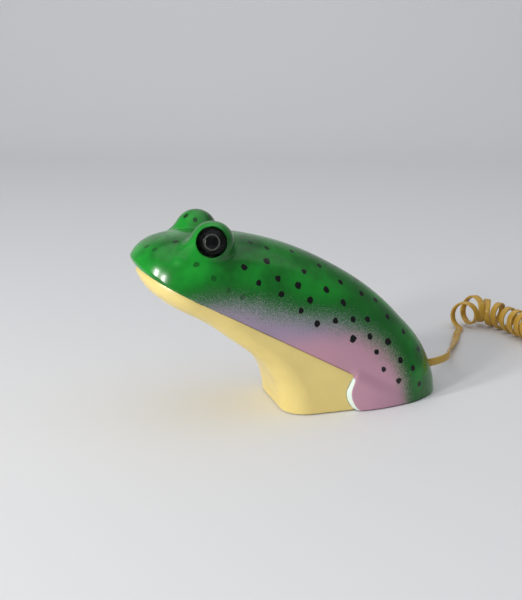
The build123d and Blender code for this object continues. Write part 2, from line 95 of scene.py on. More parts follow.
# Widths of the fillets where two forms meet, and of the rounded edges.
RIDGE_BLEND, BALL_BLEND = 6, 2.5
BACK_BELOW, BACK_BLEND = 3, 5             # the back's own form ends this far under the parting plane
LOBE_ABOVE, LOBE_BLEND = 2, 8             # the haunch lobes end this far above it
LOBE_EDGE, BEVEL_EDGE, BODY_BLEND = 0.6, 0.9, 6
CHEST_BLEND, JAW_BLEND = 4, 9
INNER_EDGE, PARTING_EDGE, FLOOR_EDGE, SOCKET_EDGE, CHEST_SIDE_EDGE = 0.4, 0.2, 0.6, 1.0, 0.3
DIAGONAL = 0.707


def smooth_table(rows):
    """Function of one variable that runs smoothly through the (position, value) rows."""
    x = np.array([r[0] for r in rows], float)
    y = np.array([r[1] for r in rows], float)
    slope = np.gradient(y, x)
    fine = np.linspace(x[0], x[-1], 1500)
    k = np.clip(np.searchsorted(x, fine) - 1, 0, len(x) - 2)
    span = x[k + 1] - x[k]
    u = (fine - x[k]) / span
    value = ((2 * u**3 - 3 * u**2 + 1) * y[k] + (u**3 - 2 * u**2 + u) * span * slope[k]
             + (3 * u**2 - 2 * u**3) * y[k + 1] + (u**3 - u**2) * span * slope[k + 1])
    return lambda p: np.interp(p, fine, value)


width_at, crown_at = smooth_table(HALF_WIDTHS), smooth_table(CROWNS)
bluntness_at, jaw_depth_at = smooth_table(BLUNTNESS), smooth_table(JAW_DEPTHS)
lip_rise_at, lip_depth_at = smooth_table(LIP_RISES), smooth_table(LIP_DEPTHS)
chest_front_at, haunch_front_at = smooth_table(CHEST_FRONTS), smooth_table(HAUNCH_FRONT)
chest_width_at = smooth_table(CHEST_WIDTHS)
haunch_square_at = smooth_table([(x, w * w) for x, w in HAUNCH_WIDTHS])


def to_slope(x, z):
    """Distance along the parting plane from the snout, and above it."""
    dx, dz = x - MOUTH[0], z - MOUTH[1]
    return dx * cos(SLOPE) - dz * sin(SLOPE), dx * sin(SLOPE) + dz * cos(SLOPE)


def from_slope(s, t):
    return MOUTH[0] + s * cos(SLOPE) + t * sin(SLOPE), MOUTH[1] - s * sin(SLOPE) + t * cos(SLOPE)


def smooth_min(a, b, k):
    h = np.clip(0.5 + 0.5 * (b - a) / k, 0, 1)
    return b * (1 - h) + a * h - k * h * (1 - h)


def smooth_max(a, b, k):
    return -smooth_min(-a, -b, k)


def as_distance(field):
    """Makes an implicit function read roughly as millimetres from its surface."""
    def measured(x, y, z):
        value = field(x, y, z)
        step = 0.05
        gx = (field(x + step, y, z) - value) / step
        gy = (field(x, y + step, z) - value) / step
        gz = (field(x, y, z + step) - value) / step
        return value / np.maximum(np.sqrt(gx * gx + gy * gy + gz * gz), 1e-4)
    return measured


def nose_and_tail(s):
    """Squares of the shares that the width keeps toward the snout and toward the tail."""
    nose = np.where(s < NOSE_PLAN, 1 - ((NOSE_PLAN - s) / (NOSE_PLAN + LIP_OVERHANG)) ** 2, 1.0)
    tail = np.where(s > TAIL_START, 1 - ((s - TAIL_START) / TAIL_LENGTH) ** 2, 1.0)
    return nose, tail


def back_raw(x, y, z):
    """The back and head: blunt elliptical sections along the slope."""
    s, t = to_slope(x, z)
    nose, tail = nose_and_tail(s)
    nose_side = np.where(s < NOSE_SIDE, 1 - ((NOSE_SIDE - s) / (NOSE_SIDE + LIP_OVERHANG)) ** 2, 1.0)
    tip = -LIP_OVERHANG + 0.02
    tip_ratio = (NOSE_SIDE + LIP_OVERHANG) / (NOSE_PLAN + LIP_OVERHANG)
    ratio = np.where(s > tip, nose / np.where(s > tip, nose_side, 1), tip_ratio)
    square = width_at(s) ** 2 * nose * tail
    rise = lip_rise_at(s)
    squash = width_at(s) ** 2 * np.maximum(tail, 0.004) / (crown_at(s) - rise) ** 2 * ratio
    undercut = (width_at(s) / lip_depth_at(s)) ** 2
    above = t - rise
    squash = np.where(above > 0, squash, undercut)
    power = bluntness_at(s) / 2
    return ((y * y) ** power + np.abs(squash * above * above) ** power) - np.sign(square) * np.abs(square) ** power


def jaw_raw(x, y, z):
    """The jaw: blunt elliptical sections along the slope, shallower toward the snout."""
    s, t = to_slope(x, z)
    nose = np.where(s < NOSE_PLAN, 1 - ((NOSE_PLAN - s) / (NOSE_PLAN - JAW_START)) ** 2, 1.0)
    square = (width_at(s) - JAW_INSET) ** 2 * nose
    depth = jaw_depth_at(s)
    below = (square.clip(1) ** 0.5 / depth * np.abs(t)) ** (2 * JAW_POWER)
    return (y * y) ** JAW_POWER + below - np.sign(square) * np.abs(square) ** JAW_POWER


def haunch_raw(x, y, z):
    """Both haunches as one upright form; behind its rear end the square of the width goes on below zero."""
    rear = HAUNCH_WIDTHS[-1][0]
    square = np.where(x > rear, (rear - x) * HAUNCH_FALL, haunch_square_at(x))
    return y * y - square


back = as_distance(back_raw)
jaw = as_distance(jaw_raw)
haunch = as_distance(haunch_raw)


def eye_distances(x, y, z):
    """Distances to the nearer eye: from the surface of its ball and from the surface of its ridge."""
    side_y = np.abs(y)
    dx, dy, dz = x - EYE[0], side_y - EYE[1], z - EYE[2]
    ball = np.sqrt(dx * dx + dy * dy + dz * dz) - EYE_RADIUS
    start, end = np.array(RIDGE_START), np.array(RIDGE_END)
    line = end - start
    reach = np.clip(((x - start[0]) * line[0] + (side_y - start[1]) * line[1] + (z - start[2]) * line[2])
                    / (line @ line), 0, 1)
    off_line = np.sqrt((x - start[0] - reach * line[0]) ** 2 + (side_y - start[1] - reach * line[1]) ** 2
                       + (z - start[2] - reach * line[2]) ** 2)
    return ball, off_line - (RIDGE_RADII[0] + (RIDGE_RADII[1] - RIDGE_RADII[0]) * reach)


def eye_axis_places(x, y, z):
    """Places along the nearer eye's axis and out from it."""
    dx, dy, dz = x - EYE[0], np.abs(y) - EYE[1], z - EYE[2]
    along = dx * EYE_AXIS[0] + dy * EYE_AXIS[1] + dz * EYE_AXIS[2]
    return along, np.sqrt(np.maximum(dx * dx + dy * dy + dz * dz - along * along, 0))


def body_outside(x, y, z):
    """The painted body as a solid: back, head, eye turrets and haunch lobes."""
    t = to_slope(x, z)[1]
    ball, ridge = eye_distances(x, y, z)
    head = smooth_min(back(x, y, z), ridge, RIDGE_BLEND)
    head = smooth_min(head, ball, BALL_BLEND)
    upper = smooth_max(head, -t - BACK_BELOW, BACK_BLEND)
    side, front = haunch(x, y, z), haunch_front_at(z) - BEVEL - x
    lobe = smooth_max(smooth_max(side, front, LOBE_EDGE), (side + front + BEVEL) * DIAGONAL, BEVEL_EDGE)
    lobe = smooth_max(lobe, t - LOBE_ABOVE, LOBE_BLEND)
    return smooth_min(upper, lobe, BODY_BLEND)


def upper_shell_field(x, y, z):
    """The painted shell: a wall under the body's outside, with eye sockets and the cord's exit."""
    t = to_slope(x, z)[1]
    solid = body_outside(x, y, z)
    along, out = eye_axis_places(x, y, z)
    socket = smooth_max(out - SOCKET_RADIUS, SOCKET_FLOOR - along, INNER_EDGE)
    solid = smooth_max(solid, -socket, SOCKET_EDGE)
    behind_front = x - haunch_front_at(z) + BEVEL
    fuller = np.clip((THICK_BEFORE - x) / THICK_OVER, 0, 1) + RIM_EXTRA * np.clip(1 - behind_front / RIM_DEPTH, 0, 1)
    thick = WALL + (t < -1) * fuller
    wall = smooth_max(solid, -(solid + thick), INNER_EDGE)
    between_haunches = np.maximum(haunch(x, y, z) + thick, t + 1)
    wall = smooth_max(wall, -between_haunches, INNER_EDGE)
    keep = np.minimum(-t, -behind_front)
    wall = smooth_max(wall, keep, PARTING_EDGE)
    wall = smooth_max(wall, FLOOR_GAP - z, FLOOR_EDGE)
    slot = np.maximum(np.abs(z - CORD_ROUTE[0][2]) - SLOT_HALF_HEIGHT,
                      np.maximum(np.abs(y) - SLOT_HALF_WIDTH, SLOT_START - x))
    return smooth_max(wall, -slot, INNER_EDGE)


def lower_shell_field(x, y, z):
    """The cream shell: a wall under the jaw and chest, with the receiver's opening."""
    s, t = to_slope(x, z)
    ahead = chest_front_at(z) + CHEST_CORNER - x
    aside = np.abs(y) - (chest_width_at(z) - CHEST_CORNER)
    corner = np.hypot(np.maximum(ahead, 0), np.maximum(aside, 0))
    chest = corner + np.minimum(np.maximum(ahead, aside), 0) - CHEST_CORNER
    chest = smooth_max(chest, t + 1, CHEST_BLEND)
    solid = smooth_min(jaw(x, y, z), chest, JAW_BLEND)
    wall = smooth_max(solid, -(solid + WALL), INNER_EDGE)
    wall = smooth_max(wall, t + PART_GAP, PARTING_EDGE)
    wall = smooth_max(wall, x - haunch_front_at(z) + BEVEL + HAUNCH_GAP, CHEST_SIDE_EDGE)
    wall = smooth_max(wall, FLOOR_GAP - z, FLOOR_EDGE)
    opening = np.maximum(np.hypot(s - RECEIVER_S, y) - RECEIVER_RADIUS, np.maximum(t, -t - RECEIVER_REACH))
    return smooth_max(wall, -opening, INNER_EDGE)


# ---- meshes from the form --------------------------------------------------------------
PROBE = 0.12                  # half the distance over which a field's gradient is measured
CELL_HOLD = 0.04              # pull of a cell's point toward the middle of its crossings
CORNER_AGREEMENT = 0.965      # a cell whose normals agree less than this holds an edge or corner
SETTLE_ROUNDS, SETTLE_SHARE = 2, 0.4


def slopes(value_at, points, tiny):
    """Gradient of a function of three coordinates at each point."""
    steps = np.eye(3) * tiny
    return np.stack([value_at(*(points + e).T) - value_at(*(points - e).T) for e in steps], 1) / (2 * tiny)


def crossings(value, axis, low, step):
    """Grid edges along an axis that cross the surface, the crossing points, and whether each edge enters it."""
    inside = np.moveaxis(value < 0, axis, 0)
    edges = np.argwhere(np.moveaxis(inside[:-1] != inside[1:], 0, axis))
    far = edges.copy()
    far[:, axis] += 1
    near_value, far_value = value[tuple(edges.T)], value[tuple(far.T)]
    places = edges.astype(float)
    places[:, axis] += near_value / (near_value - far_value)
    return edges, places * step + low, near_value >= 0


def surface_mesh(name, field, low, high, step):
    """Mesh of a field's zero surface: one vertex to a cell of a grid along the parting plane, with true corners."""
    low = np.array(low, float)
    axes = [np.arange(low[i], high[i] + step, step) for i in range(3)]

    def value_at(s, y, t):
        x, z = from_slope(s, t)
        return field(x, y, z)

    value = value_at(*np.meshgrid(*axes, indexing="ij"))
    cells = tuple(np.array(value.shape) - 1)
    rings, places = [], []
    for axis in range(3):
        edges, place, enters = crossings(value, axis, low, step)
        ahead, aside = (axis + 1) % 3, (axis + 2) % 3
        fits = np.all([(edges[:, a] > 0) & (edges[:, a] < cells[a]) for a in (ahead, aside)], axis=0)
        edges, place, enters = edges[fits], place[fits], enters[fits]
        ring = []
        for back, left in ((0, 0), (1, 0), (1, 1), (0, 1)):
            cell = edges.copy()
            cell[:, ahead] -= back
            cell[:, aside] -= left
            ring.append(np.ravel_multi_index(tuple(cell.T), cells))
        ring = np.stack(ring, 1)
        ring[enters] = ring[enters][:, ::-1]
        rings.append(ring)
        places.append(place)
    rings, places = np.concatenate(rings), np.concatenate(places)
    normals = slopes(value_at, places, PROBE)
    normals /= np.maximum(np.linalg.norm(normals, axis=1), 1e-6)[:, None]
    used, quads = np.unique(rings, return_inverse=True)
    quads = quads.reshape(-1, 4)
    points, is_corner = cell_points(quads, normals, places, len(used))
    smooth = ~is_corner
    for _ in range(SETTLE_ROUNDS):
        points[smooth] -= surface_offset(value_at, points[smooth], SETTLE_SHARE * step)
    place_x, place_z = from_slope(points[:, 0], points[:, 2])
    shell = np.stack([place_x, points[:, 1], place_z], 1)
    mesh = bpy.data.meshes.new(name)
    mesh.from_pydata((shell * MM).tolist(), [], quads.tolist())
    mesh.update()
    mesh.shade_smooth()
    vertex_normals = slopes(field, shell, PROBE)
    vertex_normals /= np.maximum(np.linalg.norm(vertex_normals, axis=1), 1e-6)[:, None]
    corners = shell[quads]
    face_normals = np.cross(corners[:, 2] - corners[:, 0], corners[:, 3] - corners[:, 1])
    face_normals /= np.maximum(np.linalg.norm(face_normals, axis=1), 1e-9)[:, None]
    loops = np.where(is_corner[quads][:, :, None], face_normals[:, None, :], vertex_normals[quads])
    mesh.normals_split_custom_set(loops.reshape(-1, 3).tolist())
    return mesh


def cell_points(quads, normals, places, count):
    """Each cell's point nearest to all the planes through its crossings, and whether an edge or corner is there."""
    offset = (normals * places).sum(1)
    terms = [normals[:, i] * normals[:, j] for i in range(3) for j in range(3)]
    terms += list((normals * offset[:, None]).T) + list(places.T) + list(normals.T) + [np.ones(len(places))]
    total = np.zeros((len(terms), count))
    for column in quads.T:
        for row, term in enumerate(terms):
            total[row] += np.bincount(column, term, count)
    products, targets, place_sums, normal_sums, number = np.split(total, [9, 12, 15, 18])
    middle = place_sums / number[0]
    hold = CELL_HOLD * number[0]
    matrix = products.reshape(3, 3, count).transpose(2, 0, 1) + hold[:, None, None] * np.eye(3)
    points = np.linalg.solve(matrix, (targets + hold * middle).T[:, :, None])[:, :, 0]
    is_corner = np.linalg.norm(normal_sums, axis=0) / number[0] < CORNER_AGREEMENT
    points[~is_corner] = middle.T[~is_corner]
    return points, is_corner


def surface_offset(value_at, points, most):
    """Step from each point to the surface, no longer than most."""
    slope = slopes(value_at, points, PROBE)
    size = np.maximum(np.linalg.norm(slope, axis=1), 1e-3)
    move = np.clip(value_at(*points.T) / size, -most, most)
    return slope / size[:, None] * move[:, None]


def add_piece(name, mesh, material, body):
    piece = bpy.data.objects.new(name, mesh)
    bpy.context.scene.collection.objects.link(piece)
    if material:
        mesh.materials.append(material)
    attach(piece, body)
    return piece


# ---- materials -------------------------------------------------------------------------
class Paint:
    """Short names for the shader nodes that the materials share."""

    def __init__(self, name):
        self.material = bpy.data.materials.new(name)
        self.material.use_nodes = True
        self.tree = self.material.node_tree
        self.shader = self.tree.nodes["Principled BSDF"]
        self.place = self.tree.nodes.new("ShaderNodeTexCoord").outputs["Object"]

    def link(self, source, target):
        if isinstance(source, (int, float, tuple)):
            target.default_value = source
        else:
            self.tree.links.new(source, target)

    def math(self, operation, a, b=0.0, clamp=False):
        node = self.tree.nodes.new("ShaderNodeMath")
        node.operation = operation
        node.use_clamp = clamp
        self.link(a, node.inputs[0])
        self.link(b, node.inputs[1])
        return node.outputs[0]

    def dot(self, vector, direction):
        node = self.tree.nodes.new("ShaderNodeVectorMath")
        node.operation = "DOT_PRODUCT"
        self.link(vector, node.inputs[0])
        node.inputs[1].default_value = direction
        return node.outputs["Value"]

    def step(self, value, low, high):
        node = self.tree.nodes.new("ShaderNodeMapRange")
        node.interpolation_type = "SMOOTHSTEP"
        self.link(value, node.inputs["Value"])
        node.inputs["From Min"].default_value = low
        node.inputs["From Max"].default_value = high
        return node.outputs["Result"]

    def scatter(self, noise, most):
        """Noise from 0 to 1 as millimetres either way, half of most at the ends."""
        return self.math("MULTIPLY", self.math("SUBTRACT", noise, 0.5), most)

    def noise(self, size_mm, detail, rough=0.5):
        node = self.tree.nodes.new("ShaderNodeTexNoise")
        node.inputs["Scale"].default_value = 1000.0 / size_mm
        node.inputs["Detail"].default_value = detail
        node.inputs["Roughness"].default_value = rough
        self.link(self.place, node.inputs["Vector"])
        return node.outputs

    def curve(self, value, rows, low, high):
        """Float curve through (position, value) rows, with values inside low to high."""
        first, last = rows[0][0], rows[-1][0]
        scaled = self.math("DIVIDE", self.math("SUBTRACT", value, first), last - first, clamp=True)
        node = self.tree.nodes.new("ShaderNodeFloatCurve")
        points = node.mapping.curves[0].points
        places = [((x - first) / (last - first), (y - low) / (high - low)) for x, y in rows]
        points[0].location, points[1].location = places[0], places[-1]
        for place in places[1:-1]:
            points.new(*place)
        node.mapping.update()
        self.link(scaled, node.inputs["Value"])
        return self.math("ADD", self.math("MULTIPLY", node.outputs[0], high - low), low)

    def mix(self, factor, a, b):
        node = self.tree.nodes.new("ShaderNodeMix")
        node.data_type = "RGBA"
        self.link(factor, node.inputs["Factor"])
        self.link(a, node.inputs[6])
        self.link(b, node.inputs[7])
        return node.outputs[2]

    def bump(self, height, strength, distance_mm):
        node = self.tree.nodes.new("ShaderNodeBump")
        node.inputs["Strength"].default_value = strength
        node.inputs["Distance"].default_value = distance_mm * MM
        self.link(height, node.inputs["Height"])
        self.tree.links.new(node.outputs[0], self.shader.inputs["Normal"])

    def set(self, **values):
        for name, value in values.items():
            self.link(value, self.shader.inputs[name.replace("_", " ")])


def rgb(red, green, blue):
    """Linear colour from 0 to 255 display values."""
    return tuple((c / 255) ** 2.2 for c in (red, green, blue)) + (1.0,)


def plastic(name, colour, roughness=0.3, wear=0.06, grain_mm=0.5, grain=0.05, coat=0.0, **extra):
    """Moulded plastic: slight mottling, handled patches in the gloss, fine grain."""
    paint = Paint(name)
    tone = paint.noise(38, 4)["Fac"]
    darker = tuple(c * (1 - wear * 2.2) for c in colour[:3]) + (1.0,)
    paint.set(Base_Color=paint.mix(paint.step(tone, 0.3, 0.72), darker, colour))
    smudge = paint.noise(14, 5)["Fac"]
    paint.set(Roughness=paint.math("ADD", paint.math("MULTIPLY", smudge, roughness * 0.5), roughness * 0.75))
    paint.set(Coat_Weight=coat, Coat_Roughness=0.05, **extra)
    paint.bump(paint.noise(grain_mm, 2)["Fac"], grain, 0.05)
    return paint.material


GREEN = rgb(26, 142, 44)
DEEP_GREEN = rgb(16, 96, 30)
LILAC = rgb(154, 136, 160)
PINK = rgb(188, 142, 160)
BARE = rgb(214, 230, 220)
HAZE = rgb(104, 146, 116)
SPOT = rgb(6, 10, 6)

PAINT_EDGE = [(0, -30), (30, -10), (51, 3), (70, 12), (85, 17), (106, 22), (127, 26.5), (144, 31), (162, 35.5),
              (176, 37.5), (191, 37.5), (207, 35), (221, 30), (238, 16), (254, -3), (275, -40)]
PAINT_EDGE_LIMITS = (-45, 45)

# Millimetres above PAINT_EDGE, each from where a colour starts to where it is full.
GREEN_RANGE, PINK_RANGE, HAZE_RANGE, DEEP_RANGE = (-16, 9), (-42, -12), (-20, 8), (2, 26)
PINK_LEVEL, PINK_SLANT = 128, -0.4        # distance along the slope where the pink is level, and its slant there
HAZE_SHARE = 0.45
CLOUD_SIZE, CLOUD_SCATTER = 22, 10        # slow wander of the colours' edges
DOT_SIZE, DOT_SCATTER = 0.7, 44           # sprayed dots where the green breaks up
BRUSH_SIZE, BRUSH_WANDER = 4.5, 2.2       # unevenness of the painted spots
BARE_FACING, BARE_BELOW, BARE_BEHIND = (0.42, 0.52), (-1, -2.5), (130, 140)

# Painted spots: distance along the slope, angle up round the body from the parting line, size, strength.
SPOTS = [(69, 45, 2.7, 1), (85, 39, 2.5, 1), (86, 58, 2.8, 1), (99, 49, 2.5, 1), (106, 39, 2.4, 1),
         (117, 51, 2.8, 1), (127, 34, 2.4, 1), (119, 63, 2.4, 1), (131, 45, 2.8, 1), (144, 30, 2.6, 1),
         (142, 58, 2.8, 1), (158, 39, 2.5, 1), (154, 69, 2.3, 1), (160, 55, 2.7, 1), (179, 32, 2.9, 1),
         (173, 47, 2.6, 1), (176, 70, 2.5, 1), (186, 53, 2.6, 1), (193, 41, 2.5, 1), (204, 31, 2.3, 1),
         (211, 45, 2.9, 1), (206, 65, 2.5, 1), (216, 19, 2.3, 1), (228, 35, 2.6, 1), (226, 63, 2.3, 1),
         (234, 15, 2.5, 1), (243, 34, 2.6, 1), (256, 23, 2.3, 1), (246, 58, 2.4, 1), (133, 74, 2.3, 0.9),
         (192, 73, 2.5, 1), (85, 70, 2.3, 0.8), (71, 71, 2.1, 0.7), (107, 77, 2.3, 0.8), (67, 81, 2.2, 0.7),
         (150, 84, 2.5, 0.9), (172, 83, 2.3, 0.9), (213, 84, 2.5, 1), (239, 80, 2.3, 1), (33, 30, 2.4, 0.6),
         (49, 25, 2.3, 0.5), (64, 22, 2.0, 0.4), (77, 22, 2.0, 0.45), (1, 57, 2.0, 0.6), (5, 43, 2.1, 0.5),
         (13, 79, 2.2, 0.7), (17, 56, 2.2, 0.7)]
# On the eye turrets: rearwards and outwards from the eye's centre as shares of its radius, and size.
EYE_SPOTS = [(0.05, 0.0, 2.2), (-0.55, -0.35, 2.1), (0.6, -0.45, 2.2), (-0.2, -0.75, 2.1), (0.75, 0.35, 2.0)]
EYE_SPOT_STRENGTH = 0.8
SPOT_EDGE = (1.15, 0.88)                  # shares of a spot's radius where it begins and is full


def spot_place(s, angle, side):
    """Point of the body's surface at s along the slope and angle round it, in metres."""
    up, out = sin(radians(angle)), cos(radians(angle))
    near, far = 5.0, 95.0     # surely inside the body, and surely outside it
    for _ in range(24):       # halvings
        reach = (near + far) / 2
        x, z = from_slope(s, reach * up)
        if body_outside(x, side * reach * out, z) < 0:
            near = reach
        else:
            far = reach
    return (x * MM, side * reach * out * MM, z * MM)


def spot_group():
    """Node group: 1 inside one painted spot, with a soft uneven edge."""
    group = bpy.data.node_groups.new("painted_spot", "ShaderNodeTree")
    for name, kind in (("Place", "NodeSocketVector"), ("Centre", "NodeSocketVector"), ("Radius", "NodeSocketFloat"),
                       ("Strength", "NodeSocketFloat")):
        group.interface.new_socket(name, in_out="INPUT", socket_type=kind)
    group.interface.new_socket("Mask", in_out="OUTPUT", socket_type="NodeSocketFloat")
    start, end = group.nodes.new("NodeGroupInput"), group.nodes.new("NodeGroupOutput")
    away = group.nodes.new("ShaderNodeVectorMath")
    away.operation = "DISTANCE"
    group.links.new(start.outputs["Place"], away.inputs[0])
    group.links.new(start.outputs["Centre"], away.inputs[1])
    share = group.nodes.new("ShaderNodeMath")
    share.operation = "DIVIDE"
    group.links.new(away.outputs["Value"], share.inputs[0])
    group.links.new(start.outputs["Radius"], share.inputs[1])
    edge = group.nodes.new("ShaderNodeMapRange")
    edge.interpolation_type = "SMOOTHSTEP"
    edge.inputs["From Min"].default_value, edge.inputs["From Max"].default_value = SPOT_EDGE
    group.links.new(share.outputs[0], edge.inputs["Value"])
    fade = group.nodes.new("ShaderNodeMath")
    fade.operation = "MULTIPLY"
    group.links.new(edge.outputs["Result"], fade.inputs[0])
    group.links.new(start.outputs["Strength"], fade.inputs[1])
    group.links.new(fade.outputs[0], end.inputs["Mask"])
    return group


def frog_paint():
    """Gloss over sprayed colour: green that breaks up into dots over mauve, with brushed black spots."""
    paint = Paint("frog_paint")
    along = (cos(SLOPE), 0, -sin(SLOPE))
    above = (sin(SLOPE), 0, cos(SLOPE))
    mouth = Vector((MOUTH[0], 0, MOUTH[1]))
    s = paint.math("SUBTRACT", paint.math("MULTIPLY", paint.dot(paint.place, along), 1000), mouth.dot(Vector(along)))
    t = paint.math("SUBTRACT", paint.math("MULTIPLY", paint.dot(paint.place, above), 1000), mouth.dot(Vector(above)))
    edge = paint.curve(s, PAINT_EDGE, *PAINT_EDGE_LIMITS)
    over = paint.math("SUBTRACT", t, edge)
    cloud = paint.scatter(paint.noise(CLOUD_SIZE, 3)["Fac"], CLOUD_SCATTER)
    speckle = paint.scatter(paint.noise(DOT_SIZE, 1, rough=0.6)["Fac"], DOT_SCATTER)
    green = paint.step(paint.math("ADD", paint.math("ADD", over, cloud), speckle), *GREEN_RANGE)
    toward_rear = paint.math("MULTIPLY", paint.math("SUBTRACT", s, PINK_LEVEL), PINK_SLANT)
    pinkness = paint.math("ADD", paint.math("ADD", over, cloud), toward_rear)
    under = paint.mix(paint.step(pinkness, *PINK_RANGE), PINK, LILAC)
    haze = paint.step(paint.math("ADD", over, cloud), *HAZE_RANGE)
    under = paint.mix(paint.math("MULTIPLY", haze, HAZE_SHARE), under, HAZE)
    shade = paint.mix(paint.step(paint.noise(30, 3)["Fac"], 0.3, 0.7), DEEP_GREEN, GREEN)
    shade = paint.mix(paint.step(over, *DEEP_RANGE), DEEP_GREEN, shade)
    colour = paint.mix(green, under, shade)

    warp = paint.tree.nodes.new("ShaderNodeVectorMath")
    warp.operation = "MULTIPLY_ADD"
    paint.link(paint.noise(BRUSH_SIZE, 1)["Color"], warp.inputs[0])
    warp.inputs[1].default_value = (BRUSH_WANDER * MM,) * 3
    shift = paint.tree.nodes.new("ShaderNodeVectorMath")
    shift.operation = "SUBTRACT"
    paint.link(paint.place, shift.inputs[0])
    shift.inputs[1].default_value = (BRUSH_WANDER * MM / 2,) * 3
    paint.link(shift.outputs[0], warp.inputs[2])
    group = spot_group()
    mask = None
    places = [(spot_place(along_slope, angle, side), size, strength)
              for along_slope, angle, size, strength in SPOTS for side in (-1, 1)]
    for back_share, out_share, size in EYE_SPOTS:
        up_share = sqrt(1 - back_share**2 - out_share**2)
        for side in (-1, 1):
            place = ((EYE[0] + EYE_RADIUS * back_share) * MM, side * (EYE[1] + EYE_RADIUS * out_share) * MM,
                     (EYE[2] + EYE_RADIUS * up_share) * MM)
            places.append((place, size, EYE_SPOT_STRENGTH))
    for place, size, strength in places:
        node = paint.tree.nodes.new("ShaderNodeGroup")
        node.node_tree = group
        paint.link(warp.outputs[0], node.inputs["Place"])
        node.inputs["Centre"].default_value = place
        node.inputs["Radius"].default_value = size * MM
        node.inputs["Strength"].default_value = strength
        mask = node.outputs[0] if mask is None else paint.math("MAXIMUM", mask, node.outputs[0])
    colour = paint.mix(mask, colour, SPOT)

    facing = paint.tree.nodes.new("ShaderNodeNewGeometry").outputs["Normal"]
    bare = paint.step(paint.dot(facing, (-1, 0, 0)), *BARE_FACING)
    low = paint.step(t, *BARE_BELOW)
    behind = paint.step(s, *BARE_BEHIND)
    colour = paint.mix(paint.math("MULTIPLY", paint.math("MULTIPLY", bare, low), behind), colour, BARE)
    paint.set(Base_Color=colour)
    rub = paint.noise(16, 5)["Fac"]
    paint.set(Roughness=paint.math("ADD", paint.math("MULTIPLY", rub, 0.16), 0.14))
    paint.set(Coat_Weight=0.15, Coat_Roughness=0.1, Specular_IOR_Level=0.34)
    paint.bump(paint.noise(3.2, 2)["Fac"], 0.12, 0.05)
    return paint.material


def glass(name, colour, roughness, ior=1.47):
    """Clear plastic with a slightly uneven polish."""
    paint = Paint(name)
    paint.set(Base_Color=colour, Transmission_Weight=1.0, IOR=ior)
    paint.set(Roughness=paint.math("ADD", paint.math("MULTIPLY", paint.noise(6, 3)["Fac"], 0.04), roughness))
    return paint.material


def metal(name, colour, roughness=0.35):
    """Plated or turned metal, faintly stained."""
    paint = Paint(name)
    stain = paint.noise(5, 4)["Fac"]
    darker = tuple(c * 0.8 for c in colour[:3]) + (1.0,)
    paint.set(Base_Color=paint.mix(paint.step(stain, 0.35, 0.75), darker, colour))
    paint.set(Metallic=1.0, Roughness=paint.math("ADD", paint.math("MULTIPLY", stain, 0.2), roughness - 0.1))
    paint.bump(paint.noise(0.4, 2)["Fac"], 0.08, 0.05)
    return paint.material


def cord_jacket():
    """Flat vinyl jacket: warm mustard, faintly dull, with a fine extruded sheen."""
    paint = Paint("cord_jacket")
    tone = paint.step(paint.noise(16, 4)["Fac"], 0.3, 0.7)
    paint.set(Base_Color=paint.mix(tone, rgb(186, 142, 44), rgb(206, 164, 62)))
    paint.set(Roughness=paint.math("ADD", paint.math("MULTIPLY", paint.noise(7, 4)["Fac"], 0.18), 0.3))
    paint.set(Coat_Weight=0.2, Coat_Roughness=0.2)
    paint.bump(paint.noise(0.7, 3)["Fac"], 0.1, 0.04)
    return paint.material


MATERIALS = {
    "painted_shell": frog_paint(),
    "cream_shell": plastic("cream_shell", rgb(230, 207, 128), 0.36, 0.05, coat=0.12, grain=0.03),
    "cream_base": plastic("cream_base", rgb(232, 214, 146), 0.38, 0.05, 0.5, 0.12),
    "black_gloss": plastic("black_gloss", rgb(5, 5, 6), 0.16, Specular_IOR_Level=0.15),
    "iris_ring": plastic("iris_ring", rgb(92, 98, 86), 0.4, Specular_IOR_Level=0.2),
    "eye_lens": glass("eye_lens", (0.9, 0.9, 0.92, 1), 0.01, 1.2),
    "key_cap": plastic("key_cap", rgb(228, 222, 200), 0.42, 0.05, 0.35, 0.14),
    "bezel": plastic("bezel", rgb(44, 84, 48), 0.45, 0.08, 0.35, 0.18),
    "rubber": plastic("rubber", rgb(30, 30, 30), 0.75, 0.1, 0.6, 0.2),
    "mat": plastic("mat", rgb(150, 150, 152), 0.7, 0.06),
    "circuit_board": plastic("circuit_board", rgb(150, 110, 56), 0.5, 0.12, 0.8, 0.1),
    "component_black": plastic("component_black", rgb(34, 34, 36), 0.5, 0.08, 0.4, 0.12),
    "component_yellow": plastic("component_yellow", rgb(214, 170, 60), 0.5, 0.08),
    "capacitor": plastic("capacitor", rgb(40, 54, 110), 0.35, 0.06),
    "steel": metal("steel", (0.62, 0.62, 0.64, 1)),
    "brass": metal("brass", (0.72, 0.55, 0.25, 1)),
    "plunger": plastic("plunger", rgb(226, 222, 208), 0.35, 0.05),
    "foam": plastic("foam", rgb(60, 60, 62), 0.9, 0.1, 0.9, 0.4),
    "cord": cord_jacket(),
    "plug_clear": glass("plug_clear", (0.9, 0.9, 0.86, 1), 0.08),
    "contact": metal("contact", (0.85, 0.66, 0.3, 1), 0.25),
}


def finish_cad_nodes():
    """Gives each shown CAD node the material of its slot."""
    for entry in frame["record"]["subparts"]:
        mesh = NODES[entry["node"]].data
        mesh.materials.clear()
        mesh.materials.append(MATERIALS[entry["material_slot"]])


# ---- pieces ----------------------------------------------------------------------------
def make_shells():
    """The two hollow shells, meshed from their fields over boxes of slope, side and height."""
    step = 1.0
    upper = surface_mesh("upper_shell_painted", upper_shell_field, (-4, -53, -56), (296, 53, 80), step)
    piece = add_piece("upper_shell_painted", upper, MATERIALS["painted_shell"], "body")
    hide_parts("upper_shell")
    lower = surface_mesh("lower_shell_moulded", lower_shell_field, (-2, -50, -60), (232, 50, 6), step)
    piece = add_piece("lower_shell_moulded", lower, MATERIALS["cream_shell"], "body")
    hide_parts("lower_shell")


